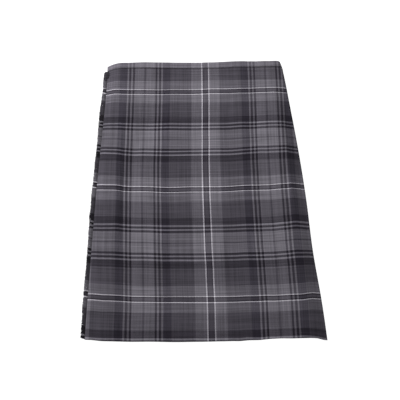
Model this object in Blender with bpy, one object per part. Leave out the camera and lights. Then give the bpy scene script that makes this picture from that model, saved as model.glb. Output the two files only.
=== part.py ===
"""Pleated wool kilt laid on its back: knife-pleated back, under apron, fringed outer apron, narrow waistband.

Metres, +Z up. The waist lies toward +Y, the hem toward -Y, and z = 0 is the surface that the kilt rests on.
The cloth is one long run: outer apron, deep pleat at +X, pleated back, fold at -X, under apron.
Each piece is a wall swept down the kilt: a path across it in X and Z, one path for each row.
"""
import math
from collections import namedtuple

import bmesh
import bpy
from mathutils import Vector

# ---- driving dimensions
KILT_LENGTH = 0.603
BAND_HEIGHT = 0.014
CLOTH = 0.0010
GAP = 0.0003
BAND_WALL = 0.0022
PLEAT_COUNT = 20
STRAND_COUNT = 160

LAYER = CLOTH + GAP
PLEAT_LAYERS = 3
PLEAT_STACK = PLEAT_LAYERS * LAYER - GAP
PLEAT_RAMP = 0.0042         # run over which a face comes down from the third layer to the surface
PLEAT_CLEAR = 0.0012        # between a hidden fold and the next ramp
BAND_BACK_WALL = PLEAT_STACK + 0.0006

HEM_RECESS = 0.5            # a hem ends short of the outer apron's by half its depth below it
FOLD_DIP = 0.6              # share of that which the right fold's outside does without
RISE_WAIST = 0.0020         # how far the +X side lies toward +Y at the waist
RISE_HEM = 0.0046           # and at the hem
RISE_START = 0.02
RISE_END = 0.14
RISE_LEFT = 0.0024          # the hem's corner at -X
RISE_LEFT_START = 0.185
RISE_LEFT_END = 0.220
SHOULDER_DROP = 0.0020      # the waist's -X end sinks toward the hem
SHOULDER_START = -0.165
SHOULDER_END = -0.120
CORNER_DROP = 0.0050        # and the aprons' corner sinks further
CORNER_FADE = 0.06

APRON_STANDOFF = 0.00135    # under apron to outer apron, centre to centre
FRINGE_ROOM = 0.0019        # room for the fringe's strip over the left fold
FRINGE_ROOM_WIDTH = 0.040
FOLD_REACH = 0.0085         # half width of the rounded fold at -X
ROLL_REACH = 0.0055         # half width of the rounded fold at +X
SADDLE_RIGHT = 0.060        # run over which the apron climbs to the right ridge
RIDGE_INSET = 0.030         # from the right edge to the top of its ridge
FALL_CURVE = 1.4            # how the ridge falls to the fold: 1 is straight, 2 is round
LEFT_ZONE = 0.085           # the stretches beside the ridges that have closer points
RIGHT_ZONE = 0.095
ZONE_POINTS = 9
DEEP_PLEAT_RAMP = 0.050
DEEP_PLEAT_CLEAR = 0.008
DEEP_PLEAT_INSET = 0.012
UNDER_EDGE_INSET = 0.038
BAND_SEAM_RIGHT = 0.035

FRINGE_START = 0.022
FRINGE_END = 0.602
FRINGE_STRIP = 0.008
FRINGE_GAP = 0.0006
FRINGE_INSET = 0.001
STRAND_LENGTH = 0.0103
STRAND_SLANT = 0.0035
STRAND_SINK = 0.0012
STRAND_TIP = 0.55

Station = namedtuple(
    "Station",
    "down left right base ridge_left fall_start fall_end ridge_right fall_right tuck droop",
)

# down: from the top of the waistband. left, right: edges of the outer apron in X.
# base: its middle's height. ridge_*: how far it stands above that over each side fold.
# fall_start, fall_end: where the left ridge falls to the middle. fall_right: how far the right one falls.
# tuck: from its free edge to the top of the left fold. droop: how far the free edge sinks.
STATIONS = (
    Station(0.000, -0.2040, 0.1630, 0.0081, 0.0022, -0.170, -0.060, 0.0020, 0.0012, 0.0340, 0.0085),
    Station(0.014, -0.2036, 0.1670, 0.0081, 0.0026, -0.171, -0.062, 0.0022, 0.0014, 0.0320, 0.0075),
    Station(0.050, -0.2028, 0.1726, 0.0076, 0.0040, -0.174, -0.070, 0.0028, 0.0020, 0.0280, 0.0062),
    Station(0.100, -0.2036, 0.1789, 0.0068, 0.0054, -0.177, -0.088, 0.0040, 0.0038, 0.0240, 0.0048),
    Station(0.210, -0.2078, 0.1920, 0.0058, 0.0068, -0.177, -0.134, 0.0056, 0.0056, 0.0160, 0.0034),
    Station(0.320, -0.2117, 0.2022, 0.0058, 0.0070, -0.175, -0.146, 0.0056, 0.0056, 0.0130, 0.0028),
    Station(0.430, -0.2140, 0.2092, 0.0058, 0.0070, -0.182, -0.138, 0.0056, 0.0056, 0.0120, 0.0026),
    Station(0.530, -0.2160, 0.2199, 0.0058, 0.0068, -0.190, -0.130, 0.0054, 0.0054, 0.0120, 0.0026),
    Station(0.603, -0.2170, 0.2259, 0.0058, 0.0066, -0.192, -0.126, 0.0052, 0.0052, 0.0120, 0.0026),
)
SEAM_LEFT = (-0.154, -0.177)    # X of the hidden join of back and under apron, at the waist and the hem
SEAM_RIGHT = (0.0795, 0.1390)   # X of the hidden join of outer apron and back, inside the deep pleat

CLOTH_ROWS = (0.0, 0.035, 0.085, 0.145, 0.205, 0.265, 0.325, 0.385, 0.445, 0.500, 0.550)
BACK_ROWS = (0.0, 0.145, 0.325, 0.500)
BAND_ROWS = ((0.0, 0.6), (0.09, 1.0), (0.91, 1.0), (1.0, 0.6))  # share of its height, share of its wall

WOOL_GREY = (0.080, 0.075, 0.088)
WOOL_DARK = (0.045, 0.043, 0.048)


# ---- curves
def smoothstep(value, start, end):
    t = min(1.0, max(0.0, (value - start) / (end - start)))
    return t * t * (3.0 - 2.0 * t)


def table_slope(i, column):
    """Slope of a table's smooth curve at its i-th row."""
    low = STATIONS[max(0, i - 1)]
    high = STATIONS[min(len(STATIONS) - 1, i + 1)]
    return (getattr(high, column) - getattr(low, column)) / (high.down - low.down)


def curve_value(down, column):
    """One column of the table at a distance from the waist, as a smooth curve through its rows."""
    i = 0
    while i < len(STATIONS) - 2 and down > STATIONS[i + 1].down:
        i += 1
    a = STATIONS[i]
    b = STATIONS[i + 1]
    span = b.down - a.down
    t = (down - a.down) / span
    h00 = 2 * t ** 3 - 3 * t ** 2 + 1
    h10 = t ** 3 - 2 * t ** 2 + t
    h01 = -2 * t ** 3 + 3 * t ** 2
    h11 = t ** 3 - t ** 2
    start = h00 * getattr(a, column) + h10 * span * table_slope(i, column)
    return start + h01 * getattr(b, column) + h11 * span * table_slope(i + 1, column)


def smooth_station(down):
    return Station(down, *(curve_value(down, column) for column in Station._fields[1:]))


def row_downs():
    """Distances from the waist of the cloth's rows, just below the band to the hem."""
    return [BAND_HEIGHT + GAP + row for row in CLOTH_ROWS] + [KILT_LENGTH]


def cloth_station(down):
    """The table between two rows, straight as the cloth's faces are."""
    downs = row_downs()
    i = 0
    while i < len(downs) - 2 and down > downs[i + 1]:
        i += 1
    a = smooth_station(downs[i])
    b = smooth_station(downs[i + 1])
    t = (down - downs[i]) / (downs[i + 1] - downs[i])
    return Station(*(p + (q - p) * t for p, q in zip(a, b)))


# ---- the lie of the outer apron, on which everything else is laid
def waist_share(down):
    """1 at the waist's edge, falling to 0 below it."""
    return 1.0 - smoothstep(down, 0.0, CORNER_FADE)


def back_y(x, down, station):
    """Y of a point of the back, from how far it is down the cloth."""
    share = down / KILT_LENGTH
    rise = (RISE_WAIST + (RISE_HEM - RISE_WAIST) * share) * smoothstep(x, RISE_START, RISE_END)
    rise += RISE_LEFT * share * smoothstep(-x, RISE_LEFT_START, RISE_LEFT_END)
    sink = SHOULDER_DROP * waist_share(down) * (1.0 - smoothstep(x, SHOULDER_START, SHOULDER_END))
    return (KILT_LENGTH - RISE_WAIST) / 2 - down + rise - sink


def plan_y(x, down, station):
    """Y of a point of the aprons, which sink further at their top left corner."""
    past = max(0.0, (station.left + station.tuck - x) / station.tuck)
    return back_y(x, down, station) - CORNER_DROP * waist_share(down) * past ** 2


def seam_x(seam, down):
    return seam[0] + (seam[1] - seam[0]) * down / KILT_LENGTH


def middle_height(x, station):
    """Height of the apron's middle line, which steps up over the deep pleat."""
    edge = seam_x(SEAM_RIGHT, station.down) - DEEP_PLEAT_CLEAR
    return station.base + 2 * LAYER * smoothstep(x, edge - DEEP_PLEAT_RAMP, edge)


def left_peak(station):
    return station.left + station.tuck


def right_peak(station):
    return station.right - CLOTH / 2 - ROLL_REACH


def left_ridge(x, station):
    return station.ridge_left * (1.0 - smoothstep(x, station.fall_start, station.fall_end))


def right_ridge(x, station):
    top = station.right - RIDGE_INSET
    climb = station.ridge_right * smoothstep(x, top - SADDLE_RIGHT, top)
    past = max(0.0, (x - top) / (right_peak(station) - top))
    return climb - station.fall_right * past ** FALL_CURVE


def apron_height(x, station):
    """Height of the outer apron's middle surface, from its free edge to the start of the right fold."""
    past = max(0.0, (left_peak(station) - x) / station.tuck)
    sag = station.droop * past ** 2
    return middle_height(x, station) + left_ridge(x, station) + right_ridge(x, station) - sag


def under_height(x, station, standoff):
    """Height of the layer below the outer apron, which doesn't rise into the right ridge."""
    room = FRINGE_ROOM * (1.0 - smoothstep(x, left_peak(station), left_peak(station) + FRINGE_ROOM_WIDTH))
    return middle_height(x, station) + left_ridge(x, station) - standoff - room


# ---- paths across the kilt
def spread(start, end, count):
    return [start + (end - start) * i / (count - 1) for i in range(count)]


def half_turn(x, low, high, reach, side, steps):
    """Points of a half ellipse from one layer to another; side is +1 where it bulges to +X."""
    middle = (low + high) / 2
    rise = (high - low) / 2
    angles = [-math.pi / 2 + math.pi * i / steps for i in range(steps + 1)]
    return [(x + side * reach * math.cos(a), middle + rise * math.sin(a)) for a in angles]


def outer_path(station, return_height, return_x):
    """Free edge, across the front, round the right fold and back underneath."""
    left = left_peak(station)
    right = right_peak(station)
    xs = spread(station.left, left, 4)
    xs += spread(left, left + LEFT_ZONE, ZONE_POINTS)[1:]
    xs += spread(left + LEFT_ZONE, right - RIGHT_ZONE, 5)[1:]
    xs += spread(right - RIGHT_ZONE, right, ZONE_POINTS)[1:]
    path = [(x, apron_height(x, station)) for x in xs]
    top = path[-1][1]
    roll = half_turn(right, return_height, top, ROLL_REACH, 1, 8)
    path += list(reversed(roll))[1:]
    path.append(((right + return_x) / 2, return_height))
    path.append((return_x, return_height))
    return path


def under_path(station, start_x, start_height, standoff):
    """From the join below the left fold, round it, and across to the hidden free edge."""
    left = left_peak(station)
    right = station.right - UNDER_EDGE_INSET
    top = under_height(left, station, standoff)
    path = [(start_x, start_height)]
    path += half_turn(left, start_height, top, FOLD_REACH, -1, 8)
    ramp = seam_x(SEAM_RIGHT, station.down) - DEEP_PLEAT_CLEAR
    xs = spread(left, left + LEFT_ZONE, ZONE_POINTS)[1:]
    xs += spread(left + LEFT_ZONE, ramp - DEEP_PLEAT_RAMP, 4)[1:]
    xs += spread(ramp - DEEP_PLEAT_RAMP, ramp, 4)[1:]
    xs += spread(ramp, right, 3)[1:]
    path += [(x, under_height(x, station, standoff)) for x in xs]
    return path


def pleat_path(station):
    """Deep pleat's second layer, round its fold, then every knife pleat, to the join at -X."""
    lowest = CLOTH / 2
    deep_return = PLEAT_STACK + GAP + CLOTH / 2
    inner = seam_x(SEAM_RIGHT, station.down) - GAP
    outer = station.right - DEEP_PLEAT_INSET
    path = [(inner, deep_return + LAYER)]
    path += list(reversed(half_turn(inner - 2 * CLOTH, deep_return, deep_return + LAYER, LAYER / 2, -1, 2)))
    path += list(reversed(half_turn(outer, lowest, deep_return, (deep_return - lowest) / 2, 1, 4)))
    first = outer - CLOTH
    last = seam_x(SEAM_LEFT, station.down) + GAP / 2
    face = (first - last) / (PLEAT_COUNT + 0.5)
    depth = face - PLEAT_RAMP - PLEAT_CLEAR - 2 * CLOTH
    for k in range(1, PLEAT_COUNT + 1):
        edge = first - face * k
        fold = half_turn(edge + LAYER / 2, lowest, lowest + LAYER, LAYER / 2, -1, 2)
        hidden = half_turn(edge + depth, lowest + LAYER, lowest + 2 * LAYER, LAYER / 2, 1, 2)
        path += fold + hidden
        path.append((edge - CLOTH, lowest + 2 * LAYER))
        path.append((edge - PLEAT_RAMP, lowest))
    path.append((last, lowest))
    return path


# ---- solids
def wall_section(path, wall):
    """Closed outline of a wall round a path: one face forward, the other face back."""
    forward = []
    backward = []
    for i, point in enumerate(path):
        before = Vector(path[max(0, i - 1)])
        here = Vector(point)
        after = Vector(path[min(len(path) - 1, i + 1)])
        incoming = (here - before) if i > 0 else (after - here)
        outgoing = (after - here) if i < len(path) - 1 else (here - before)
        incoming.normalize()
        outgoing.normalize()
        along = (incoming + outgoing).normalized()
        across = Vector((-along.y, along.x))
        reach = wall / 2 / max(0.5, along.dot(incoming))
        forward.append(here + across * reach)
        backward.append(here - across * reach)
    return forward + backward[::-1]


def loft(name, rows, colour):
    """One closed solid through rows of equal outlines of 3D points, capped at both ends."""
    mesh = bpy.data.meshes.new(name)
    bm = bmesh.new()
    rings = [[bm.verts.new(point) for point in row] for row in rows]
    size = len(rings[0])
    for lower, upper in zip(rings, rings[1:]):
        for i in range(size):
            j = (i + 1) % size
            bm.faces.new((lower[i], lower[j], upper[j], upper[i]))
    for ring in (rings[0], rings[-1]):
        for i in range(size // 2 - 1):
            bm.faces.new((ring[i], ring[i + 1], ring[size - 2 - i], ring[size - 1 - i]))
    finish_mesh(bm, mesh)
    return add_object(name, mesh, colour)


def finish_mesh(bm, mesh):
    bmesh.ops.triangulate(bm, faces=bm.faces)
    bmesh.ops.recalc_face_normals(bm, faces=bm.faces)
    bm.to_mesh(mesh)
    bm.free()
    mesh.shade_smooth()
    mesh.set_sharp_from_angle(angle=math.radians(40))


def wool(name, colour):
    """Matt worsted wool."""
    material = bpy.data.materials.new(name)
    material.use_nodes = True
    shader = material.node_tree.nodes["Principled BSDF"]
    shader.inputs["Base Color"].default_value = (*colour, 1.0)
    shader.inputs["Roughness"].default_value = 0.9
    shader.inputs["Metallic"].default_value = 0.0
    return material


def add_object(name, mesh, colour):
    thing = bpy.data.objects.new(name, mesh)
    mesh.materials.append(wool(name + "_wool", colour))
    bpy.context.scene.collection.objects.link(thing)
    return thing


def hem_recess(x, z, station):
    """How far a hem ends short: nothing at the outer apron, more for what lies below it."""
    peak = right_peak(station)
    fold = min(1.0, max(0.0, (x - peak) / ROLL_REACH))
    return HEM_RECESS * (1.0 - FOLD_DIP * fold) * max(0.0, apron_height(min(x, peak), station) - z)


def cloth_rows(make_path, downs, place_y):
    """Sections of a piece of cloth, one for each row, with the last row at its hem."""
    rows = []
    for down in downs:
        station = cloth_station(down)
        section = wall_section(make_path(station), CLOTH)
        row = []
        for x, z in section:
            recess = hem_recess(x, z, station) if down == KILT_LENGTH else 0.0
            row.append((x, place_y(x, down, station) + recess, z))
        rows.append(row)
    return rows


def make_outer_apron():
    return_height = PLEAT_STACK + GAP + LAYER + CLOTH / 2

    def path(station):
        return outer_path(station, return_height, seam_x(SEAM_RIGHT, station.down))

    return loft("outer_apron", cloth_rows(path, row_downs(), plan_y), WOOL_GREY)


def make_under_apron():
    def path(station):
        start = seam_x(SEAM_LEFT, station.down) - GAP / 2
        return under_path(station, start, CLOTH / 2, APRON_STANDOFF)

    return loft("under_apron", cloth_rows(path, row_downs(), plan_y), WOOL_GREY)


def make_pleated_back():
    downs = [BAND_HEIGHT + GAP + row for row in BACK_ROWS] + [KILT_LENGTH]
    return loft("pleated_back", cloth_rows(pleat_path, downs, back_y), WOOL_GREY)


def band_rows(make_path, wall, place_y):
    """Sections of a stretch of waistband, thinner at its two long edges."""
    rows = []
    for share, thickness in BAND_ROWS:
        down = BAND_HEIGHT * share
        station = smooth_station(down)
        section = wall_section(make_path(station), wall * thickness)
        rows.append([(x, place_y(x, down, station), z) for x, z in section])
    return rows


def make_waistband():
    seam_right = STATIONS[0].right - BAND_SEAM_RIGHT
    seam_left = SEAM_LEFT[0]
    low = BAND_WALL / 2 + GAP / 3
    standoff = BAND_WALL + GAP

    def front(station):
        return outer_path(station, low, seam_right + GAP / 2)

    def under(station):
        return under_path(station, seam_left - GAP / 2, low, standoff)

    def back(station):
        xs = spread(seam_right - GAP / 2, seam_left + GAP / 2, 9)
        return [(x, BAND_BACK_WALL / 2) for x in xs]

    loft("waistband_front", band_rows(front, BAND_WALL, plan_y), WOOL_GREY)
    loft("waistband_under", band_rows(under, BAND_WALL, plan_y), WOOL_GREY)
    loft("waistband_back", band_rows(back, BAND_BACK_WALL, back_y), WOOL_GREY)


def strand_length(k):
    """Uneven ends, from two slow waves along the edge."""
    return STRAND_LENGTH * (0.86 + 0.09 * math.sin(2.4 * k) + 0.05 * math.sin(0.37 * k + 1.0))


def fringe_point(down, inward, lift):
    """A point of the fringe's strip, below the outer apron's free edge."""
    station = cloth_station(down)
    x = station.left + inward
    z = apron_height(x, station) - CLOTH - FRINGE_GAP + lift
    return Vector((x, plan_y(x, down, station), z))


def make_fringe():
    """A strip below the free edge, each second bit of its outer side drawn out into a strand."""
    pitch = (FRINGE_END - FRINGE_START) / STRAND_COUNT
    half = CLOTH / 2
    bm = bmesh.new()
    sections = []
    for i in range(2 * STRAND_COUNT + 1):
        down = FRINGE_START + pitch * (i // 2 + (0.62 if i % 2 else 0.0))
        corners = [fringe_point(down, FRINGE_INSET, half), fringe_point(down, FRINGE_INSET, -half)]
        if i % 16 == 0 or i == 2 * STRAND_COUNT:
            corners.append(fringe_point(down, FRINGE_INSET + FRINGE_STRIP, -half))
            corners.append(fringe_point(down, FRINGE_INSET + FRINGE_STRIP, half))
        sections.append([bm.verts.new(c) for c in corners])
    for i in range(2 * STRAND_COUNT):
        top_a, low_a = sections[i][:2]
        top_b, low_b = sections[i + 1][:2]
        if i % 2:
            bm.faces.new((top_a, low_a, low_b, top_b))
        else:
            add_strand(bm, (top_a, low_a, low_b, top_b), i // 2)
    inner = [i for i, section in enumerate(sections) if len(section) == 4]
    for a, b in zip(inner, inner[1:]):
        middle = (a + b) // 2
        for corner, edge in ((0, 3), (1, 2)):
            near = sections[a][edge]
            far = sections[b][edge]
            for i in range(a, b):
                root = near if i < middle else far
                bm.faces.new((root, sections[i][corner], sections[i + 1][corner]))
            bm.faces.new((near, sections[middle][corner], far))
        bm.faces.new((sections[a][2], sections[a][3], sections[b][3], sections[b][2]))
    for section in (sections[0], sections[-1]):
        bm.faces.new(section)
    mesh = bpy.data.meshes.new("apron_fringe")
    finish_mesh(bm, mesh)
    return add_object("apron_fringe", mesh, WOOL_DARK)


def add_strand(bm, root, k):
    """Four-sided strand from a root face, drawn outward, toward the waist and a little down."""
    middle = sum((v.co for v in root), Vector()) / 4
    reach = Vector((-strand_length(k), STRAND_SLANT, -STRAND_SINK))
    tip = [bm.verts.new(middle + reach + (v.co - middle) * STRAND_TIP) for v in root]
    for i in range(4):
        j = (i + 1) % 4
        bm.faces.new((root[i], root[j], tip[j], tip[i]))
    bm.faces.new(tip)


def main():
    for thing in list(bpy.data.objects):
        bpy.data.objects.remove(thing, do_unlink=True)
    make_pleated_back()
    make_under_apron()
    make_outer_apron()
    make_waistband()
    make_fringe()


main()
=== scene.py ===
import math
import random
from collections import namedtuple

import bmesh
import bpy
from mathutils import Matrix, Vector


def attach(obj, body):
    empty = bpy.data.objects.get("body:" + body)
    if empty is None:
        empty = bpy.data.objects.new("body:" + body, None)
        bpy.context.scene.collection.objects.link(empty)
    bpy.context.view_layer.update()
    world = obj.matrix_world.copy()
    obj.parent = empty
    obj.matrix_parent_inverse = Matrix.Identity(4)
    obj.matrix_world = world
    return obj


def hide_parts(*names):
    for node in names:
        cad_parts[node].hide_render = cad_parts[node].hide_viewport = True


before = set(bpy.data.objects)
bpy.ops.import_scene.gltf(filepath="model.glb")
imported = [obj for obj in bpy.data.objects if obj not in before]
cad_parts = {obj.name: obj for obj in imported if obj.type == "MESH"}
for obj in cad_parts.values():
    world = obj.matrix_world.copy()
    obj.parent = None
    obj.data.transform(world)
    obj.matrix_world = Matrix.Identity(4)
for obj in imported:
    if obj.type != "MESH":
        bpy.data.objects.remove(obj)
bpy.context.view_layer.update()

# Pleated tartan kilt lying on its back, fringed outer apron up, waist toward +Y, wearer's right toward -X.
# Metres, and mm where a comment says so.
mm = 0.001

kilt = {
    "length": 0.603,
    "bandHeight": 0.014,
    "cloth": 0.0010,                    # the wool's thickness
    "gap": 0.0003,                      # room between layers that touch
    # hidden joins, by their x at the waist and at the hem
    "seamLeft": (-0.154, -0.177),       # where the back ends and the under apron starts
    "seamRight": (0.0795, 0.1390),      # where the outer apron's turn ends and the back starts
}
layer = kilt["cloth"] + kilt["gap"]
pleatStack = 3 * layer - kilt["gap"]    # a knife pleat is three layers deep

# How the aprons lie, row by row. down: from the top of the waistband. left, right: the outer apron's edges.
# base: the height of its middle. ridgeLeft, ridgeRight: how far it stands above that over each side fold.
# fallStart, fallEnd: where the left ridge falls to the middle. fallRight: the right ridge's drop to its fold.
# tuck: from the free edge to the top of the left fold. droop: how far the free edge sinks.
lieRow = namedtuple(
    "lieRow", "down left right base ridgeLeft fallStart fallEnd ridgeRight fallRight tuck droop")
lies = (
    lieRow(0.000, -0.2040, 0.1630, 0.0081, 0.0022, -0.170, -0.060, 0.0020, 0.0012, 0.0340, 0.0085),
    lieRow(0.014, -0.2036, 0.1670, 0.0081, 0.0026, -0.171, -0.062, 0.0022, 0.0014, 0.0320, 0.0075),
    lieRow(0.050, -0.2028, 0.1726, 0.0076, 0.0040, -0.174, -0.070, 0.0028, 0.0020, 0.0280, 0.0062),
    lieRow(0.100, -0.2036, 0.1789, 0.0068, 0.0054, -0.177, -0.088, 0.0040, 0.0038, 0.0240, 0.0042),
    lieRow(0.210, -0.2078, 0.1920, 0.0058, 0.0068, -0.177, -0.134, 0.0056, 0.0056, 0.0160, 0.0020),
    lieRow(0.320, -0.2117, 0.2022, 0.0058, 0.0070, -0.175, -0.146, 0.0056, 0.0056, 0.0130, 0.0016),
    lieRow(0.430, -0.2140, 0.2092, 0.0058, 0.0070, -0.182, -0.138, 0.0056, 0.0056, 0.0120, 0.0015),
    lieRow(0.530, -0.2160, 0.2199, 0.0058, 0.0068, -0.190, -0.130, 0.0054, 0.0054, 0.0120, 0.0015),
    lieRow(0.603, -0.2170, 0.2259, 0.0058, 0.0066, -0.192, -0.126, 0.0052, 0.0052, 0.0120, 0.0015),
)


def smoothStep(value, start, end):
    t = min(1.0, max(0.0, (value - start) / (end - start)))
    return t * t * (3.0 - 2.0 * t)


def between(value, table):
    # eased from one row to the next, and level past the ends
    if value <= table[0][0]:
        return table[0][1]
    for (a, p), (b, q) in zip(table, table[1:]):
        if value <= b:
            return p + (q - p) * smoothStep(value, a, b) if b > a else q
    return table[-1][1]


def spread(start, end, count):
    return [start + (end - start) * i / (count - 1) for i in range(count)]


def lieAt(down):
    # a smooth curve through the table's rows
    i = 0
    while i < len(lies) - 2 and down > lies[i + 1].down:
        i += 1
    a, b = lies[i], lies[i + 1]
    before, after = lies[max(0, i - 1)], lies[min(len(lies) - 1, i + 2)]
    span = b.down - a.down
    t = (down - a.down) / span
    values = []
    for p, q, r, s in zip(before[1:], a[1:], b[1:], after[1:]):
        slopeIn = (r - p) / (b.down - before.down) * span
        slopeOut = (s - q) / (after.down - a.down) * span
        values.append(
            (2 * t ** 3 - 3 * t ** 2 + 1) * q + (t ** 3 - 2 * t ** 2 + t) * slopeIn
            + (3 * t ** 2 - 2 * t ** 3) * r + (t ** 3 - t ** 2) * slopeOut
        )
    return lieRow(down, *values)


def seamX(seam, down):
    return seam[0] + (seam[1] - seam[0]) * down / kilt["length"]


# How the waist and the hem run, seen from above.
plan = {
    "riseWaist": 0.0020, "riseHem": 0.0046,             # both climb to the right
    "riseAcross": (0.02, 0.14),
    "riseLeft": 0.0024, "riseLeftAcross": (0.185, 0.220),           # and the hem a little at the left
    "shoulderDrop": 0.0020, "shoulderAcross": (-0.165, -0.120),     # the waist drops toward the fringe
    "cornerDrop": 0.0050, "cornerFade": 0.06,           # and the apron's corner further
    "hemTail": 0.0026,                                  # the hem's right corner hangs lower
    "tailFrom": 0.565, "tailAcross": (0.204, 0.223),
    "hemLineFrom": 0.560,
}
# how far the aprons' waist and hem stray toward the hem, in mm, by x
waistLine = ((-0.080, 0.0), (-0.050, 0.4), (-0.012, 0.5), (0.015, -0.5), (0.035, -0.9), (0.080, -0.7),
             (0.100, 0.7), (0.112, 1.4), (0.135, 1.2), (0.155, 0.0))
hemLine = ((-0.200, 0.3), (-0.180, 0.9), (-0.146, 0.6), (-0.100, 0.3), (-0.051, 1.0), (-0.010, 0.5),
           (0.030, -0.2), (0.050, -0.1), (0.066, 0.6), (0.082, 0.1), (0.103, 0.9), (0.125, 0.0),
           (0.143, -0.6), (0.165, 0.0))


def waistShare(down):
    return 1.0 - smoothStep(down, 0.0, plan["cornerFade"])


def backY(x, lie):
    share = lie.down / kilt["length"]
    rise = plan["riseWaist"] + (plan["riseHem"] - plan["riseWaist"]) * share
    y = (kilt["length"] - plan["riseWaist"]) / 2 - lie.down + rise * smoothStep(x, *plan["riseAcross"])
    y += plan["riseLeft"] * share * smoothStep(-x, *plan["riseLeftAcross"])
    return y - plan["shoulderDrop"] * waistShare(lie.down) * (1.0 - smoothStep(x, *plan["shoulderAcross"]))


def planY(x, lie):
    past = max(0.0, (lie.left + lie.tuck - x) / lie.tuck)
    corner = plan["cornerDrop"] * waistShare(lie.down) * past ** 2
    tail = smoothStep(lie.down, plan["tailFrom"], kilt["length"]) * smoothStep(x, *plan["tailAcross"])
    stray = between(x, waistLine) * mm * waistShare(lie.down)
    if lie.down > plan["hemLineFrom"]:
        stray += between(x, hemLine) * mm * smoothStep(lie.down, plan["hemLineFrom"], kilt["length"])
    return backY(x, lie) - corner - plan["hemTail"] * tail - stray


# Both aprons.
aprons = {
    "standoff": 0.00135,            # from the outer apron's middle layer to the under apron's
    "fringeRoom": 0.0019,           # more room at the left, for the fringe's strip
    "fringeRoomWidth": 0.040,
    "foldReach": 0.0085,            # how far the under apron's fold at the left swells out
    "rollReach": 0.0055,            # and the outer apron's at the right
    "ridgeInset": 0.030,            # from the right edge to the ridge's top
    "saddleRight": 0.060,           # the ridge's climb from the middle
    "fallCurve": 1.4,
    "pleatClear": 0.008,            # the step over the deep pleat under the right side
    "pleatRamp": 0.050,
    "underEdgeInset": 0.038,
    "hemRecess": 0.5,               # a lower layer's hem ends short by this share of its depth,
    "hemRecessFrom": 0.550,         # and starts to draw back this far below the band
    "foldDip": 0.6,                 # less so in the roll at the right
    "creaseReach": 2.5,             # in half widths
    "creaseEase": 1.2,              # how softly a crease starts and ends
}
# Soft creases of the front, each from one end to the other: x and down of both ends, half width, height.
creaseRow = namedtuple("creaseRow", "x0 down0 x1 down1 width height")
creases = (
    creaseRow(-0.161, 0.130, -0.158, 0.470, 0.0042, -0.0010),
    creaseRow(-0.118, 0.060, -0.129, 0.330, 0.0090, 0.0005),
    creaseRow(-0.060, 0.020, -0.072, 0.210, 0.0110, 0.0006),
    creaseRow(0.012, 0.230, 0.022, 0.520, 0.0140, 0.0005),
    creaseRow(0.066, 0.040, 0.083, 0.300, 0.0120, 0.0006),
    creaseRow(0.118, 0.300, 0.134, 0.585, 0.0100, 0.0007),
    creaseRow(0.157, 0.090, 0.178, 0.360, 0.0065, 0.0010),
    creaseRow(-0.040, 0.400, -0.052, 0.600, 0.0130, 0.0006),
    creaseRow(-0.186, 0.240, -0.195, 0.560, 0.0050, 0.0006),
)


def middleHeight(x, lie):
    edge = seamX(kilt["seamRight"], lie.down) - aprons["pleatClear"]
    return lie.base + 2 * layer * smoothStep(x, edge - aprons["pleatRamp"], edge)


def leftPeak(lie):
    return lie.left + lie.tuck


def rightPeak(lie):
    return lie.right - kilt["cloth"] / 2 - aprons["rollReach"]


def leftRidge(x, lie):
    return lie.ridgeLeft * (1.0 - smoothStep(x, lie.fallStart, lie.fallEnd))


def rightRidge(x, lie):
    top = lie.right - aprons["ridgeInset"]
    climb = lie.ridgeRight * smoothStep(x, top - aprons["saddleRight"], top)
    past = max(0.0, (x - top) / (rightPeak(lie) - top))
    return climb - lie.fallRight * past ** aprons["fallCurve"]


def creaseLift(x, lie):
    # both aprons share it, so they don't meet
    lift = 0.0
    for c in creases:
        alongX, alongDown = c.x1 - c.x0, c.down1 - c.down0
        length = math.hypot(alongX, alongDown)
        t = ((x - c.x0) * alongX + (lie.down - c.down0) * alongDown) / length ** 2
        if not 0.0 < t < 1.0:
            continue
        aside = ((x - c.x0) * alongDown - (lie.down - c.down0) * alongX) / length
        if abs(aside) < aprons["creaseReach"] * c.width:
            ease = math.sin(math.pi * t) ** aprons["creaseEase"]
            lift += c.height * math.exp(-(aside / c.width) ** 2) * ease
    return lift


def apronHeight(x, lie):
    past = max(0.0, (leftPeak(lie) - x) / lie.tuck)
    top = middleHeight(x, lie) + leftRidge(x, lie) + rightRidge(x, lie) - lie.droop * past ** 2
    return top + creaseLift(x, lie)


def underHeight(x, lie, standoff):
    peak = leftPeak(lie)
    room = aprons["fringeRoom"] * (1.0 - smoothStep(x, peak, peak + aprons["fringeRoomWidth"]))
    return middleHeight(x, lie) + leftRidge(x, lie) - standoff - room + creaseLift(x, lie)


def hemRecess(x, z, lie):
    peak = rightPeak(lie)
    fold = min(1.0, max(0.0, (x - peak) / aprons["rollReach"]))
    depth = max(0.0, apronHeight(min(x, peak), lie) - z)
    return aprons["hemRecess"] * (1.0 - aprons["foldDip"] * fold) * depth


# Where each point of the cloth lies in the weave. The tartan runs from the middle of its pair of white lines.
# A half sett is from there to the thin dark line that it is mirrored about.
weave = {
    "halfSettAcross": 0.12647,
    "halfSettDown": 0.11270,
    "acrossStart": -0.01101,        # in half setts
    "downStart": -0.63904,
    "acrossTurn": -0.16245,         # half setts for each metre down the kilt
    "downTurn": 0.06388,            # half setts for each metre across
    "chartEdge": 0.22,              # x past which the drift is held level
}
# The threads drift a little from straight, as pressed cloth does. How far the warp strays toward +X, in mm,
# by the distance down the kilt,
warpDrift = ((0.024, 2.1), (0.092, 1.4), (0.116, 0.8), (0.176, -0.6), (0.248, -2.0), (0.314, -2.1),
             (0.336, -1.7), (0.411, -1.0), (0.470, 0.5), (0.542, 1.6), (0.578, 1.2))
# and by x;
warpSpread = ((-0.192, -1.1), (-0.160, -0.9), (-0.130, -0.7), (-0.098, 0.3), (-0.055, 0.6), (-0.015, 0.2),
              (0.025, -0.15), (0.065, 0.15), (0.105, 0.0), (0.145, 0.0), (0.190, 0.3))
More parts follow.
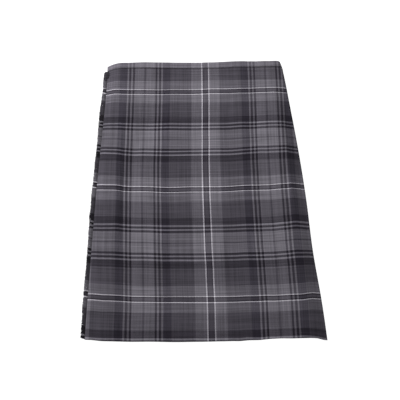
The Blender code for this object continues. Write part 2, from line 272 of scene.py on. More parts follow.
# and the weft toward the hem, in mm: a row for each distance down, a column for each x.
driftX = (-0.200, -0.185, -0.160, -0.120, -0.068, -0.020, 0.023, 0.070, 0.114, 0.131, 0.159, 0.181, 0.206)
weftDrift = (
    (0.072, (2.5, 1.5, 2.3, 1.2, 0.6, 0.8, -0.9, 1.0, 2.0, 2.7, 2.4, 2.4, 2.4)),
    (0.152, (0.9, 1.1, 1.2, 0.0, -0.7, -0.2, -0.7, 0.0, 1.0, 1.4, 2.1, 2.1, 2.1)),
    (0.184, (0.3, 0.7, 1.6, 0.4, 0.2, 0.9, -0.4, 0.6, 0.0, 0.7, 1.8, 1.8, 1.8)),
    (0.215, (-2.0, -1.6, -0.5, -1.0, -0.1, -0.6, -1.0, -0.1, -1.4, -0.2, 0.3, 0.3, 0.3)),
    (0.296, (-2.8, -2.8, -2.2, -2.0, 0.3, -0.6, -0.3, -0.7, 0.6, 1.2, 0.5, -0.6, -0.6)),
    (0.378, (-0.9, -1.4, -2.1, -1.0, 0.8, 0.6, 0.3, 0.8, 2.7, 2.8, 1.7, -0.1, -0.1)),
    (0.410, (-1.2, -1.5, -2.5, -1.3, 0.8, 0.7, 0.1, 1.0, 3.2, 3.3, 2.4, 0.9, -0.1)),
    (0.441, (-2.2, -2.5, -2.5, -2.0, -0.2, 0.1, 0.0, 0.5, 2.8, 2.9, 2.2, 0.8, -0.8)),
    (0.523, (-2.7, -2.2, -2.0, -0.7, 0.2, 0.5, 0.7, 1.6, 3.4, 4.0, 3.4, 3.5, 0.2)),
    (0.597, (-1.4, -2.0, -2.2, -2.0, -2.2, -1.9, -0.9, -0.4, 0.9, 1.6, 1.2, 1.0, 2.4)),
)


def weftStray(x, down):
    rows = [(d, between(x, tuple(zip(driftX, row)))) for d, row in weftDrift]
    return between(down, rows) * mm


def weaveAcross(x, down):
    stray = (between(down, warpDrift) + between(x, warpSpread)) * mm
    halves = weave["acrossStart"] + (x - stray) / weave["halfSettAcross"] + weave["acrossTurn"] * down
    return halves * weave["halfSettAcross"]


def weaveDown(x, down):
    halves = weave["downStart"] + (down - weftStray(x, down)) / weave["halfSettDown"] + weave["downTurn"] * x
    return halves * weave["halfSettDown"]


# Meshes: rings of points, each with its place in the weave.
fineness = {
    "front": 150, "tuck": 9, "roll": 22, "return": 20,      # points along the outer apron's stretches
    "underStart": 6, "fold": 22, "under": 70,               # and the under apron's
    "deepTurn": 12, "deepFace": 10, "innerTurn": 6,         # the deep pleat's
    "pleatTurn": 4, "pleatFall": 5,                         # and each knife pleat's
    "backBand": 60,
    "rowStep": 0.0042,
    "sharpAngle": 50,                                       # degrees
}


def halfTurn(x, low, high, reach, side, steps):
    # points of a half ellipse from a lower layer to a higher one
    middle, rise = (low + high) / 2, (high - low) / 2
    angles = [math.pi * (i / steps - 0.5) for i in range(steps + 1)]
    return [(x + side * reach * math.cos(a), middle + rise * math.sin(a)) for a in angles]


def lengthsAlong(path):
    done = [0.0]
    for a, b in zip(path, path[1:]):
        done.append(done[-1] + math.dist(a, b))
    return done


def wallRing(path, wall):
    # one face forward along the path, the other back, with sharp turns cut off at twice the wall
    forward, backward = [], []
    for i, point in enumerate(path):
        here = Vector(point)
        incoming = here - Vector(path[i - 1]) if i > 0 else Vector(path[1]) - here
        outgoing = Vector(path[i + 1]) - here if i < len(path) - 1 else incoming
        incoming.normalize()
        outgoing.normalize()
        along = (incoming + outgoing).normalized()
        reach = wall / 2 / max(0.5, along.dot(incoming))
        across = Vector((-along.y, along.x)) * reach
        forward.append(here + across)
        backward.append(here - across)
    return forward + backward[::-1]


def ringFaces(start, size, count):
    # the faces between rings of equal size that follow one another
    faces = []
    for low in range(start, start + size * (count - 1), size):
        for i in range(size):
            k = (i + 1) % size
            faces.append((low + i, low + k, low + size + k, low + size + i))
    return faces


def tubeFaces(start, size, count):
    last = start + size * (count - 1)
    ends = [tuple(range(start, start + size)), tuple(range(last + size - 1, last - 1, -1))]
    return ringFaces(start, size, count) + ends


def addMesh(name, points, faces, places, material):
    mesh = bpy.data.meshes.new(name)
    mesh.from_pydata(points, [], faces)
    weavePlaces = mesh.uv_layers.new(name="weavePlace")
    for loop in mesh.loops:
        weavePlaces.data[loop.index].uv = places[loop.vertex_index]
    mesh.materials.append(material)
    mesh.validate()
    mesh.shade_smooth()
    mesh.set_sharp_from_angle(angle=math.radians(fineness["sharpAngle"]))
    bm = bmesh.new()
    bm.from_mesh(mesh)
    bmesh.ops.recalc_face_normals(bm, faces=bm.faces)
    bm.to_mesh(mesh)
    bm.free()
    thing = bpy.data.objects.new(name, mesh)
    bpy.context.scene.collection.objects.link(thing)
    return thing


def shellMesh(name, rows, material):
    # rows of equal rings, closed at both ends by strips across the wall
    size = len(rows[0])
    points = [p for row in rows for p, place in row]
    places = [place for row in rows for p, place in row]
    faces = ringFaces(0, size, len(rows))
    last = (len(rows) - 1) * size
    for start in (0, last):
        for i in range(size // 2 - 1):
            cap = [start + i, start + i + 1, start + size - 2 - i, start + size - 1 - i]
            faces.append(cap if start else cap[::-1])
    return addMesh(name, points, faces, places, material)


def clothShell(name, makePath, rows, placeY, material, weaveAt=weaveDown):
    # rows are (distance down the kilt, thickness)
    rings = []
    recessStart = kilt["bandHeight"] + kilt["gap"] + aprons["hemRecessFrom"]
    for down, wall in rows:
        lie = lieAt(down)
        path, across = makePath(lie)
        share = max(0.0, (down - recessStart) / (kilt["length"] - recessStart))
        ring = []
        for (x, z), u in zip(wallRing(path, wall), across + across[::-1]):
            y = placeY(x, lie) + (share * hemRecess(x, z, lie) if share > 0 else 0.0)
            ring.append(((x, y, z), (u, weaveAt(min(x, weave["chartEdge"]), down))))
        rings.append(ring)
    return shellMesh(name, rings, material)


# Paths across the kilt, each point with its place in the weave.
def outerPath(lie, returnHeight, returnX):
    # the free edge, the front, round the right-hand fold, and back under it
    peak, right = leftPeak(lie), rightPeak(lie)
    xs = spread(lie.left, peak, fineness["tuck"]) + spread(peak, right, fineness["front"])[1:]
    path = [(x, apronHeight(x, lie)) for x in xs]
    roll = halfTurn(right, returnHeight, path[-1][1], aprons["rollReach"], 1, fineness["roll"])
    path += roll[::-1][1:]
    path += [(x, returnHeight) for x in spread(right, returnX, fineness["return"])[1:]]
    run = lengthsAlong(path)
    turn = len(xs) - 1
    across = [weaveAcross(x, lie.down) for x in xs]
    return path, across + [across[turn] + r - run[turn] for r in run[turn + 1:]]


def underPath(lie, startX, startHeight, standoff):
    # from the hidden seam, round the left-hand fold, and across under the front
    peak = leftPeak(lie)
    top = underHeight(peak, lie, standoff)
    path = [(x, startHeight) for x in spread(startX, peak, fineness["underStart"])]
    path += halfTurn(peak, startHeight, top, aprons["foldReach"], -1, fineness["fold"])[1:]
    xs = spread(peak, lie.right - aprons["underEdgeInset"], fineness["under"])[1:]
    path += [(x, underHeight(x, lie, standoff)) for x in xs]
    run = lengthsAlong(path)
    turn = len(path) - len(xs) - 1
    base = weaveAcross(peak, lie.down)
    return path, [base + (r - run[turn]) for r in run]


# The back: a deep pleat at the right, then knife pleats.
pleats = {
    "count": 20,
    "ramp": 0.0042,             # each pleat's face climbs onto the next over this
    "clear": 0.0012,
    "deepInset": 0.012,         # from the right edge to the deep pleat's turn
    # Pressed by hand, no edge is quite straight, and none follows its neighbour.
    "wander": 0.0004,
    "waves": ((1.0, 2.4, 9.0), (0.5, 5.1, -23.0)),      # size, turn for each pleat, turn for each metre down
}


def pleatWander(k, down):
    return pleats["wander"] * sum(
        size * math.sin(byPleat * k + byDown * down) for size, byPleat, byDown in pleats["waves"])


def pleatPath(lie):
    lowest = kilt["cloth"] / 2
    deepReturn = pleatStack + kilt["gap"] + kilt["cloth"] / 2
    inner = seamX(kilt["seamRight"], lie.down) - kilt["gap"]
    outer = lie.right - pleats["deepInset"]
    path = [(inner, deepReturn + layer)]
    path += halfTurn(inner - 2 * kilt["cloth"], deepReturn, deepReturn + layer, layer / 2, -1,
                     fineness["innerTurn"])[::-1]
    turned = halfTurn(outer, lowest, deepReturn, (deepReturn - lowest) / 2, 1, fineness["deepTurn"])[::-1]
    path += [(x, deepReturn) for x in spread(path[-1][0], outer, fineness["deepFace"])[1:-1]] + turned
    first = outer - kilt["cloth"]
    last = seamX(kilt["seamLeft"], lie.down) + kilt["gap"] / 2
    face = (first - last) / (pleats["count"] + 0.5)
    depth = face - pleats["ramp"] - pleats["clear"] - 2 * kilt["cloth"]
    for k in range(1, pleats["count"] + 1):
        edge = first - face * k + pleatWander(k, lie.down)
        path += halfTurn(edge + layer / 2, lowest, lowest + layer, layer / 2, -1, fineness["pleatTurn"])
        path += halfTurn(edge + depth, lowest + layer, lowest + 2 * layer, layer / 2, 1,
                         fineness["pleatTurn"])
        fall = spread(edge - kilt["cloth"], edge - pleats["ramp"], fineness["pleatFall"])
        path += [(x, lowest + 2 * layer * (1 - smoothStep(-x, -fall[0], -fall[-1]))) for x in fall]
    path.append((last, lowest))
    return path, [-x for x, z in path]


print("kilt: forms are ready")


def hexLinear(code):
    parts = [int(code[i:i + 2], 16) / 255 for i in (1, 3, 5)]
    return tuple(p / 12.92 if p <= 0.04045 else ((p + 0.055) / 1.055) ** 2.4 for p in parts) + (1.0,)


def addNode(tree, kind, settings=(), links=()):
    made = tree.nodes.new(kind)
    for name, value in dict(settings).items():
        if isinstance(name, int) or name in made.inputs:
            made.inputs[name].default_value = value
        else:
            setattr(made, name, value)
    for name, source in dict(links).items():
        tree.links.new(source, made.inputs[name])
    return made


# Worsted yarns, dyed before weaving: smooth, hard-twisted, matt, each a shade unevenly dyed.
yarns = {
    "light": "#636067",
    "lightDull": "#5e5b62",
    "lightClear": "#67646b",
    "dark": "#3d3a41",
    "darkest": "#201d26",
    "deep": "#1b181f",
    "black": "#17141b",
    "pale": "#75727a",
    "white": "#dad6de",
}
# Stripes from the middle of the white pair to the thin dark line: yarn, and where it ends, in half setts.
# The colour ramp that holds them has 256 steps, and a stripe's end falls on the next of these.
warpChart = (
    ("dark", 0.029), ("darkest", 0.0450), ("white", 0.0640), ("light", 0.231), ("dark", 0.588),
    ("darkest", 0.709), ("light", 0.737), ("black", 0.770), ("light", 0.797), ("black", 0.829),
    ("lightDull", 0.983), ("dark", 1.0),
)
weftChart = (
    ("dark", 0.020), ("black", 0.0420), ("white", 0.0580), ("light", 0.233), ("dark", 0.537),
    ("deep", 0.667), ("pale", 0.696), ("black", 0.7420), ("pale", 0.769), ("black", 0.810),
    ("lightClear", 0.988), ("dark", 1.0),
)
wool = {
    "twillPitch": 1.6,          # mm; the real twill line is 0.9 mm, too fine to show, so it is drawn coarser
    "twillShare": 0.16,         # how far the colour swings from warp to weft along a twill line
    "twillHeight": 0.35,        # beside the fibres' grain
    "streak": 0.60,             # how far the uneven dye swings the colour
    "streakAcross": 1.6,        # streaks along the warp, and along the weft, beside the fibres' grain
    "streakAlong": 2.2,
    "streakWidth": 3.0,         # mm
    "streakStretch": 0.02,      # a streak is fifty times as long as it is wide
    "nap": 0.7,                 # mm; grain of the fibres on the surface
    "eyeGamma": 2.2,
    "roughness": 0.92,
    "specular": 0.12,
    "sheen": 0.03,
    "sheenRoughness": 0.45,
    "bump": 0.22,
    "bumpDepth": 0.4,           # mm
    "rootFrom": -0.010,         # a loose yarn darkens from here to its root, which lies in shade
    "rootTo": -0.002,
}


def stripesAlong(tree, distance, half, chart):
    # a folded colour ramp: the stripes run out and back again
    scaled = addNode(tree, "ShaderNodeMath", {"operation": "DIVIDE", 1: half}, {0: distance})
    folded = addNode(tree, "ShaderNodeMath", {"operation": "PINGPONG", 1: 1.0}, {0: scaled.outputs[0]})
    ramp = addNode(tree, "ShaderNodeValToRGB", {}, {"Fac": folded.outputs[0]})
    ramp.color_ramp.interpolation = "CONSTANT"
    stops = ramp.color_ramp.elements
    start = 0.0
    for i, (yarn, end) in enumerate(chart):
        stop = stops[i] if i < 2 else stops.new(start)
        stop.position = start
        stop.color = hexLinear(yarns[yarn])
        start = end
    # the eye blends fine yarns by their lightness, so they are mixed with a gamma taken off
    return addNode(tree, "ShaderNodeGamma", {"Gamma": 1 / wool["eyeGamma"]}, {"Color": ramp.outputs["Color"]})


def tartanWool(name, warp=True, shade=1.0, weftShare=0.53, streak=1.0, rootShade=1.0):
    # Worsted wool, 2/2 twill, pressed: matt and close, with a fine diagonal and a faint bloom of fibres.
    material = bpy.data.materials.new(name)
    material.use_nodes = True
    tree = material.node_tree
    shader = tree.nodes["Principled BSDF"]
    place = addNode(tree, "ShaderNodeUVMap", {"uv_map": "weavePlace"})
    axes = addNode(tree, "ShaderNodeSeparateXYZ", {}, {0: place.outputs["UV"]})
    x, y = axes.outputs["X"], axes.outputs["Y"]
    warpStripes = stripesAlong(tree, x, weave["halfSettAcross"], warpChart)
    weftStripes = stripesAlong(tree, y, weave["halfSettDown"], weftChart)

    # twill: the diagonal climbs one yarn for each yarn across
    diagonal = addNode(tree, "ShaderNodeMath", {"operation": "ADD"}, {0: x, 1: y})
    pitch = wool["twillPitch"] * mm
    turns = addNode(tree, "ShaderNodeMath", {"operation": "MULTIPLY", 1: 2 * math.pi / pitch},
                    {0: diagonal.outputs[0]})
    twill = addNode(tree, "ShaderNodeMath", {"operation": "SINE"}, {0: turns.outputs[0]})
    share = addNode(tree, "ShaderNodeMath",
                    {"operation": "MULTIPLY_ADD", 1: wool["twillShare"], 2: weftShare},
                    {0: twill.outputs[0]})
    mixed = addNode(tree, "ShaderNodeMix", {"data_type": "RGBA"},
                    {"Factor": share.outputs[0],
                     6: (warpStripes if warp else weftStripes).outputs["Color"],
                     7: weftStripes.outputs["Color"]})
    linear = addNode(tree, "ShaderNodeGamma", {"Gamma": wool["eyeGamma"]}, {"Color": mixed.outputs[2]})

    # uneven dye: long streaks along the warp and along the weft, and a fine grain of fibres
    streaks = []
    for stretch in ((1.0, wool["streakStretch"], 1.0), (wool["streakStretch"], 1.0, 1.0)):
        mapped = addNode(tree, "ShaderNodeMapping", {"Scale": stretch}, {"Vector": place.outputs["UV"]})
        streaks.append(addNode(tree, "ShaderNodeTexNoise",
                               {"Scale": 1 / (wool["streakWidth"] * mm), "Detail": 2.0, "Roughness": 0.6},
                               {"Vector": mapped.outputs["Vector"]}))
    grain = addNode(tree, "ShaderNodeTexNoise",
                    {"Scale": 1 / (wool["nap"] * mm), "Detail": 3.0, "Roughness": 0.7},
                    {"Vector": place.outputs["UV"]})
    warpDye = addNode(tree, "ShaderNodeMath", {"operation": "MULTIPLY_ADD", 1: wool["streakAcross"]},
                      {0: streaks[0].outputs["Fac"], 2: grain.outputs["Fac"]})
    dye = addNode(tree, "ShaderNodeMath", {"operation": "MULTIPLY_ADD", 1: wool["streakAlong"]},
                  {0: streaks[1].outputs["Fac"], 2: warpDye.outputs[0]})
    middle = 0.5 * (1 + wool["streakAcross"] + wool["streakAlong"])
    swing = streak * wool["streak"] * middle
    level = addNode(tree, "ShaderNodeMapRange",
                    {"From Min": 0.0, "From Max": 2 * middle,
                     "To Min": shade * (1 - swing), "To Max": shade * (1 + swing)},
                    {"Value": dye.outputs[0]})
    # painted shade: darker toward a loose yarn's root, which lies in shade
    if rootShade < 1.0:
        depth = addNode(tree, "ShaderNodeMapRange",
                        {"From Min": wool["rootFrom"], "From Max": wool["rootTo"],
                         "To Min": 1.0, "To Max": rootShade},
                        {"Value": x})
        level = addNode(tree, "ShaderNodeMath", {"operation": "MULTIPLY"},
                        {0: level.outputs["Result"], 1: depth.outputs["Result"]})
    tinted = addNode(tree, "ShaderNodeVectorMath", {"operation": "SCALE"},
                     {0: linear.outputs["Color"], "Scale": level.outputs[0]})
    tree.links.new(tinted.outputs[0], shader.inputs["Base Color"])

    height = addNode(tree, "ShaderNodeMath", {"operation": "MULTIPLY_ADD", 1: wool["twillHeight"]},
                     {0: twill.outputs[0], 2: grain.outputs["Fac"]})
    bump = addNode(tree, "ShaderNodeBump",
                   {"Strength": wool["bump"], "Distance": wool["bumpDepth"] * mm},
                   {"Height": height.outputs[0]})
    tree.links.new(bump.outputs["Normal"], shader.inputs["Normal"])
    shader.inputs["Roughness"].default_value = wool["roughness"]
    shader.inputs["Specular IOR Level"].default_value = wool["specular"]
    shader.inputs["Sheen Weight"].default_value = wool["sheen"]
    shader.inputs["Sheen Roughness"].default_value = wool["sheenRoughness"]
    return material


print("kilt: materials")
tartan = tartanWool("worstedTartanTwill")
bandTartan = tartanWool("worstedTartanBand", shade=1.06, weftShare=0.68)
# painted shade: the same tartan darkened, for the strip below the waistband where the seam's shadow falls
seamShadeTartan = tartanWool("worstedTartanPaintedSeamShade", shade=0.64)
# painted shade: the loose yarns' colour is darkened overall for the shade among them, and more toward the
# root for the shade under the apron's edge
fringeWool = tartanWool("ravelledWeftWool", warp=False, shade=0.84, streak=1.0, rootShade=0.35)

print("kilt: cloth shells")
clothTop = kilt["bandHeight"] + kilt["gap"]
rowCount = round((kilt["length"] - kilt["bandHeight"] - kilt["gap"]) / fineness["rowStep"]) + 1
downs = spread(clothTop, kilt["length"], rowCount)
returnHeight = pleatStack + kilt["gap"] + layer + kilt["cloth"] / 2


def evenRows(step):
    # every so many rows, and always the hem
    kept = downs[:-1:step] + downs[-1:]
    return [(down, kilt["cloth"]) for down in kept]


def outerPathAt(lie):
    return outerPath(lie, returnHeight, seamX(kilt["seamRight"], lie.down))


def underPathAt(lie):
    start = seamX(kilt["seamLeft"], lie.down) - kilt["gap"] / 2
    return underPath(lie, start, kilt["cloth"] / 2, aprons["standoff"])


outerApron = clothShell("outerApron", outerPathAt, evenRows(1), planY, tartan)
underApron = clothShell("underApron", underPathAt, evenRows(2), planY, tartan)
pleatedBack = clothShell("pleatedBack", pleatPath, evenRows(3), backY, tartan)

# Waistband: a straight strip folded over the top, in three stretches.
band = {
    "wall": 0.0022,
    "seamRight": 0.035,         # from the right edge to the join of front and back
    "backRoom": 0.0006,         # how far the back's stretch is thicker than the pleats in it
    "weaveTop": 0.082,          # half setts: the strip is cut from a light weft block
    # share of its height, share of its wall
    "profile": ((0.0, 0.30), (0.03, 0.62), (0.09, 0.90), (0.22, 1.0), (0.50, 1.0), (0.78, 1.0),
                (0.91, 0.90), (0.97, 0.62), (1.0, 0.30)),
}
bandLow = band["wall"] / 2 + kilt["gap"] / 3
bandTurn = lies[0].right - band["seamRight"]


def bandShell(name, makePath, wall, placeY):
    rows = [(kilt["bandHeight"] * share, wall * thickness) for share, thickness in band["profile"]]
    return clothShell(name, makePath, rows, placeY, bandTartan,
                      lambda x, down: band["weaveTop"] * weave["halfSettDown"] + down)


def frontBandPath(lie):
    return outerPath(lie, bandLow, bandTurn + kilt["gap"] / 2)


def underBandPath(lie):
    return underPath(lie, kilt["seamLeft"][0] - kilt["gap"] / 2, bandLow, band["wall"] + kilt["gap"])


def backBandPath(lie):
    xs = spread(bandTurn - kilt["gap"] / 2, kilt["seamLeft"][0] + kilt["gap"] / 2, fineness["backBand"])
    return [(x, (pleatStack + band["backRoom"]) / 2) for x in xs], [-x for x in xs]


print("kilt: waistband")
bandFront = bandShell("waistbandFront", frontBandPath, band["wall"], planY)
bandUnder = bandShell("waistbandUnder", underBandPath, band["wall"], planY)
bandBack = bandShell("waistbandBack", backBandPath, pleatStack + band["backRoom"], backY)

# Fringe of ravelled weft along the free edge: a strip under it, and loose yarns in two layers.
fringe = {
    "start": 0.0175, "end": 0.6025,     # down the kilt
    "inset": 0.001, "strip": 0.008,     # the strip's edge, in from the apron's, and its width
    "stripSteps": 120,
    "gap": 0.0006,                      # below the apron
    "strands": 3600,
    "jitter": 0.4,                      # of their spacing
    "yarn": 0.00041,                    # radius
    "taper": 0.35,                      # of the radius, lost at the tip
    "root": 0.001,                      # how far in on the strip a yarn starts
    "level": 0.30, "levelSwing": 0.1,   # of the cloth, above and below the strip's middle
    "uneven": 0.0011,
    "slant": 0.0036, "slantSwing": 0.0006, "slantCurve": 0.8,
    "sink": 0.0014,
    "wave": 0.0003, "waveTurns": (5, 4),        # radians from root to tip, across and up
    "over": 0.0055, "overLeast": 0.3,   # near the waist the upper yarns have worked up over the edge:
    "overFull": 0.026, "overEnd": 0.046,        # all of them down to here, and none from here
    "overRest": 0.8,                    # of a yarn's radius, above the apron
    "overFall": 0.6,                    # how much of that height a yarn loses past the edge
    "lag": 0.0045, "weaveX": -0.2,      # the stripe that a yarn was drawn from
    "sides": 4, "steps": 4, "seed": 7,
}
# how far the yarns reach past the edge, in mm, by the distance down the kilt
fringeReach = ((0.018, 5.6), (0.024, 7.2), (0.050, 8.4), (0.070, 8.1), (0.090, 9.0), (0.125, 10.3),
               (0.165, 9.6), (0.200, 8.5), (0.240, 9.0), (0.285, 8.7), (0.320, 9.6), (0.342, 8.9),
               (0.360, 9.9), (0.375, 8.6), (0.392, 9.0), (0.410, 8.3), (0.445, 8.4), (0.462, 8.0),
               (0.495, 8.8), (0.530, 8.7), (0.545, 9.1), (0.560, 8.1), (0.602, 8.1))


onEdge = 1.5 * kilt["cloth"] + fringe["gap"]        # from the strip's middle to the apron's upper face


def edgePoint(down, inward, lift):
    # a point under the outer apron's free edge, at a height above the strip's middle
    lie = lieAt(down)
    x = lie.left + inward
    z = apronHeight(x, lie) - kilt["cloth"] - fringe["gap"] + lift
    return Vector((x, planY(x, lie), z))


def strandCentres(rng, down, upper):
    # a yarn's middle line from root to tip
    reach = between(down, fringeReach) * mm + rng.uniform(-1.0, 1.0) * fringe["uneven"]
    level = fringe["level"] if upper else -fringe["level"]
    level += rng.uniform(-fringe["levelSwing"], fringe["levelSwing"])
    slant = fringe["slant"] + rng.uniform(-1, 1) * fringe["slantSwing"]
    wave, phase = rng.uniform(-fringe["wave"], fringe["wave"]), rng.uniform(0, 2 * math.pi)
    climb = 1.0 - smoothStep(down, fringe["overFull"], fringe["overEnd"])
    over = fringe["over"] * climb * rng.uniform(fringe["overLeast"], 1.0)
    rootIn = fringe["inset"] + fringe["root"]
    onTop = upper and over > rootIn
    if onTop:
        rootIn = over
    lie = lieAt(down)
    lift = onEdge + fringe["yarn"] * fringe["overRest"]
    aside, up = fringe["waveTurns"]
    centres = []
    for s in range(fringe["steps"] + 1):
        t = s / fringe["steps"]
        inward = rootIn - (reach + rootIn) * t
        if onTop:
            rest = edgePoint(down, max(0.0, inward), lift)
            past = max(0.0, -inward) / reach
            z = rest.z - fringe["overFall"] * lift * past - fringe["sink"] * past ** 2
        else:
            rest = edgePoint(down, rootIn, level * kilt["cloth"])
            z = rest.z - fringe["sink"] * t * t
        y = rest.y + slant * t ** fringe["slantCurve"] + wave * math.sin(phase + aside * t) * t
        centres.append(Vector((lie.left + inward, y, z + wave * math.sin(phase + up * t) * t)))
    return centres


def fringeMesh(name, material):
    rng = random.Random(fringe["seed"])
    points, places = [], []
    half = kilt["cloth"] / 2
    near, far = fringe["inset"], fringe["inset"] + fringe["strip"]
    for down in spread(fringe["start"], fringe["end"], fringe["stripSteps"] + 1):
        v = weaveDown(fringe["weaveX"], down + fringe["lag"])
        for inward, lift in ((near, half), (near, -half), (far, -half), (far, half)):
            points.append(edgePoint(down, inward, lift))
            places.append((inward, v))
    faces = tubeFaces(0, 4, fringe["stripSteps"] + 1)

    sides, steps = fringe["sides"], fringe["steps"]
    for k in range(fringe["strands"]):
        share = (k + 0.5 + rng.uniform(-fringe["jitter"], fringe["jitter"])) / fringe["strands"]
        down = fringe["start"] + (fringe["end"] - fringe["start"]) * share
        centres = strandCentres(rng, down, k % 2 == 1)
        turn = rng.uniform(0, 2 * math.pi)
        v = weaveDown(fringe["weaveX"], down + fringe["lag"])
        faces += tubeFaces(len(points), sides, steps + 1)
        for s, centre in enumerate(centres):
            radius = fringe["yarn"] * (1.0 - fringe["taper"] * (s / steps) ** 3)
            for c in range(sides):
                a = 2 * math.pi / sides * c + turn
                points.append(centre + Vector((0.0, radius * math.cos(a), radius * math.sin(a))))
                places.append((centre.x - centres[0].x, v))
    return addMesh(name, points, faces, places, material)


print("kilt: fringe")
apronFringe = fringeMesh("apronFringe", fringeWool)

# Sewing: the seam under the waistband, as a strip of darkened tartan (painted shade) and a low ridge, and two
# rows of stitches.
sewing = {
    "ditch": 0.0034,                    # width of the darkened strip below the waistband: painted shade where the seam's ditch would lie in shadow
    "shadeStripLift": 0.00012,
    # past the ditch, and how far the cloth swells there
    "ridge": ((0.0, 0.0001), (0.0016, 0.0006), (0.0042, 0.0004), (0.0090, -0.0002)),
    "stitch": 0.0024, "stitchGap": 0.0007,
    "thread": 0.00022,                  # radius
    "grain": ((0.0, 0.3), (0.25, 1.0), (0.75, 1.0), (1.0, 0.3)),   # share of a stitch, share of its radius
    "sunk": 0.6,                        # of the radius
    "bandStitchDown": 0.0152, "bandStitchIn": 0.001, "bandPoints": 160,
    "edgeStitchIn": 0.0030, "edgeStitchEnds": 0.002, "edgePoints": 200,
}
cotton = {
    "colour": "#17151a", "worn": "#55525b", "wear": 0.4,
    "roughness": 0.6,
    "twist": 900.0,                     # a turn about every 1.1 mm
    "bump": 0.5, "bumpDepth": 0.1,      # mm
}


def threadMaterial(name):
    # Mercerised cotton thread: a little smoother than the cloth, with a fine twist.
    material = bpy.data.materials.new(name)
    material.use_nodes = True
    tree = material.node_tree
    shader = tree.nodes["Principled BSDF"]
    shader.inputs["Roughness"].default_value = cotton["roughness"]
    place = addNode(tree, "ShaderNodeTexCoord")
    twist = addNode(tree, "ShaderNodeTexNoise", {"Scale": cotton["twist"], "Detail": 2.0},
                    {"Vector": place.outputs["Object"]})
    wear = addNode(tree, "ShaderNodeMath", {"operation": "MULTIPLY", 1: cotton["wear"]},
                   {0: twist.outputs["Fac"]})
    colour = addNode(tree, "ShaderNodeMix",
                     {"data_type": "RGBA", 6: hexLinear(cotton["colour"]), 7: hexLinear(cotton["worn"])},
                     {"Factor": wear.outputs[0]})
    tree.links.new(colour.outputs[2], shader.inputs["Base Color"])
    bump = addNode(tree, "ShaderNodeBump",
                   {"Strength": cotton["bump"], "Distance": cotton["bumpDepth"] * mm},
                   {"Height": twist.outputs["Fac"]})
    tree.links.new(bump.outputs["Normal"], shader.inputs["Normal"])
    return material


def stitchRow(name, line, material):
    # short stitches along a line of points, each a four-sided grain with its ends sunk in the cloth
    points, faces = [], []
    done = lengthsAlong(line)

    def pointAt(distance):
        for i in range(len(line) - 1):
            if distance <= done[i + 1]:
                return line[i].lerp(line[i + 1], (distance - done[i]) / (done[i + 1] - done[i]))
        return line[-1]

    pitch = sewing["stitch"] + sewing["stitchGap"]
    for k in range(int(done[-1] / pitch)):
        a, b = pointAt(k * pitch), pointAt(k * pitch + sewing["stitch"])
        along = (b - a).normalized()
        side = along.cross(Vector((0.0, 0.0, 1.0))).normalized()
        up = side.cross(along)
        faces += tubeFaces(len(points), 4, len(sewing["grain"]))
        for t, share in sewing["grain"]:
            centre = a.lerp(b, t) + up * sewing["thread"] * (share - sewing["sunk"])
            for sideways, rise in ((1, 0), (0, 1), (-1, 0), (0, -1)):
                points.append(centre + sewing["thread"] * share * (side * sideways + up * rise))
    return addMesh(name, points, faces, [(0.0, 0.0)] * len(points), material)


def bandStitchLine():
    lie = lieAt(sewing["bandStitchDown"])
    surface = kilt["cloth"] / 2 + sewing["shadeStripLift"]
    xs = spread(lie.left + sewing["bandStitchIn"], rightPeak(lie), sewing["bandPoints"])
    return [Vector((x, planY(x, lie), apronHeight(x, lie) + surface)) for x in xs]


def edgeStitchLine():
    ends = sewing["edgeStitchEnds"]
    stitchDowns = spread(fringe["start"] + ends, fringe["end"] - ends, sewing["edgePoints"])
    return [edgePoint(down, sewing["edgeStitchIn"], onEdge) for down in stitchDowns]


print("kilt: sewing")
# painted shade: a strip of darkened tartan laid just over the cloth below the waistband, then the seam's real
# ridge
seamShadeWall = kilt["cloth"] + 2 * sewing["shadeStripLift"]
seamShadeEnd = clothTop + sewing["ditch"]
seamShadeRows = [(clothTop, seamShadeWall), (seamShadeEnd, seamShadeWall)]
paintedSeamShade = clothShell("waistSeamPaintedShade", outerPathAt, seamShadeRows, planY, seamShadeTartan)
ridgeRows = [(seamShadeEnd + past, kilt["cloth"] + 2 * lift) for past, lift in sewing["ridge"]]
seamRidge = clothShell("waistSeamRidge", outerPathAt, ridgeRows, planY, tartan)
blackThread = threadMaterial("mercerisedCottonThread")
waistStitches = stitchRow("waistStitches", bandStitchLine(), blackThread)
edgeStitches = stitchRow("fringeStitches", edgeStitchLine(), blackThread)

# What each piece stands for.
for piece, node, slot in (
    (outerApron, "outer_apron", "tartan_wool"),
    (underApron, "under_apron", "tartan_wool"),
    (pleatedBack, "pleated_back", "tartan_wool"),
    (bandFront, "waistband_front", "band_wool"),
    (bandUnder, "waistband_under", "band_wool"),
    (bandBack, "waistband_back", "band_wool"),
    (apronFringe, "apron_fringe", "fringe_wool"),
):
    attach(piece, "root")
    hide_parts(node)
for piece, slot in (
    (paintedSeamShade, "tartan_wool"),
    (seamRidge, "tartan_wool"),
    (waistStitches, "band_wool"),
    (edgeStitches, "fringe_wool"),
):
    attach(piece, "root")

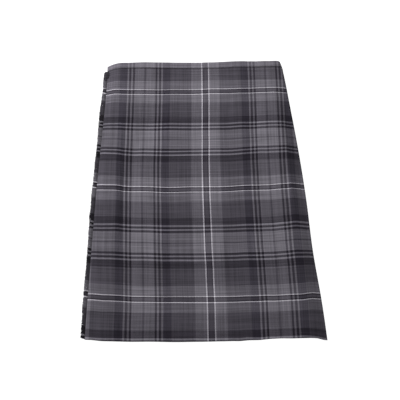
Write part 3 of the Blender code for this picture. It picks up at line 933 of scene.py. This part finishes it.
print("kilt: surface, light and camera")
stage = {"floor": "#7c7c7c", "glow": 1.0, "roughness": 0.95, "size": 120.0, "drop": -0.0004}
half, drop = stage["size"] / 2, stage["drop"]
floorMesh = bpy.data.meshes.new("studioTable")
corners = [(-half, -half, drop), (half, -half, drop), (half, half, drop), (-half, half, drop)]
floorMesh.from_pydata(corners, [], [(0, 1, 2, 3)])
floor = bpy.data.objects.new("studioTable", floorMesh)
bpy.context.scene.collection.objects.link(floor)
# Acrylic sheet lit from below: white, even and without a reflection.
table = bpy.data.materials.new("backlitWhiteAcrylic")
table.use_nodes = True
acrylic = table.node_tree.nodes["Principled BSDF"]
acrylic.inputs["Base Color"].default_value = hexLinear(stage["floor"])
acrylic.inputs["Roughness"].default_value = stage["roughness"]
acrylic.inputs["Specular IOR Level"].default_value = 0.0
acrylic.inputs["Emission Color"].default_value = (1.0, 1.0, 1.0, 1.0)
acrylic.inputs["Emission Strength"].default_value = stage["glow"]
floorMesh.materials.append(table)

light = {"at": (-1.24, 0.98, 0.96), "size": 0.9, "power": 56.0, "fill": 0.42}
lampData = bpy.data.lights.new("softKey", "AREA")
lampData.shape = "DISK"
lampData.size = light["size"]
lampData.energy = light["power"]
lamp = bpy.data.objects.new("softKey", lampData)
lamp.location = light["at"]
lamp.rotation_euler = (-Vector(light["at"])).to_track_quat("-Z", "Y").to_euler()
bpy.context.scene.collection.objects.link(lamp)

world = bpy.data.worlds.new("softStudio")
world.use_nodes = True
world.node_tree.nodes["Background"].inputs["Color"].default_value = (1.0, 1.0, 1.0, 1.0)
world.node_tree.nodes["Background"].inputs["Strength"].default_value = light["fill"]
bpy.context.scene.world = world

camera = {"target": (-0.007, -0.0167, 0.0), "distance": 1.5724, "tilt": 24.0, "lens": 71.5, "sensor": 36.0}
cameraData = bpy.data.cameras.new("camera")
cameraData.lens = camera["lens"]
cameraData.sensor_width = camera["sensor"]
viewer = bpy.data.objects.new("camera", cameraData)
tilt = math.radians(camera["tilt"])
backward = Vector((0.0, -math.sin(tilt), math.cos(tilt)))
viewer.location = Vector(camera["target"]) + camera["distance"] * backward
viewer.rotation_euler = (tilt, 0.0, 0.0)
bpy.context.scene.collection.objects.link(viewer)
bpy.context.scene.camera = viewer
bpy.context.scene.view_settings.view_transform = "Standard"

print("kilt: done")
